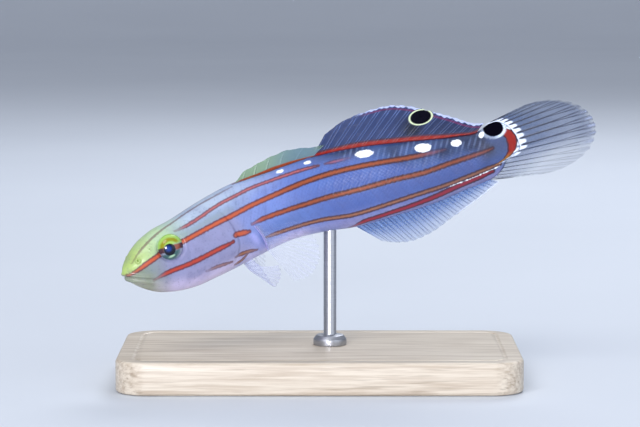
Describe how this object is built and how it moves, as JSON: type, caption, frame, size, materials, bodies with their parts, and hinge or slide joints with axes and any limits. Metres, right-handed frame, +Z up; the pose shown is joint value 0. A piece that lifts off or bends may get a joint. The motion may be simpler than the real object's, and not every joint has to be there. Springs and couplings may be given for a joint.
{
  "type": "rainfords goby display model",
  "caption": "Life-size display model of a Rainford's goby swimming, striped body with all its fins, held over a flat base by one short rod.",
  "frame": {"origin": "middle of the base's underside", "axes": "+Z up, -X the way the fish faces, -Y its left side"},
  "size_m": [0.0738, 0.034, 0.0437],
  "materials": {
    "skin": "painted cast, damp sheen, lilac grey with orange red lines and a yellow green head",
    "eye": "polished, clear cornea over a green and red brown iris",
    "fin": "thin, see-through between the rays",
    "stand_wood": "pale limed ash, satin lacquer",
    "stand_steel": "fine brushed"
  },
  "bodies": {
    "root": {"head": "skin", "lower_jaw": "skin", "trunk": "skin", "tail": "skin", "eye_left": "eye", "eye_right": "eye", "first_dorsal_fin": "fin", "second_dorsal_fin": "fin", "anal_fin": "fin", "caudal_fin": "fin", "pectoral_fin_left": "fin", "pectoral_fin_right": "fin", "pelvic_disc": "fin", "stand_base": "stand_wood", "stand_rod": "stand_steel"}
  },
  "joints": []
}
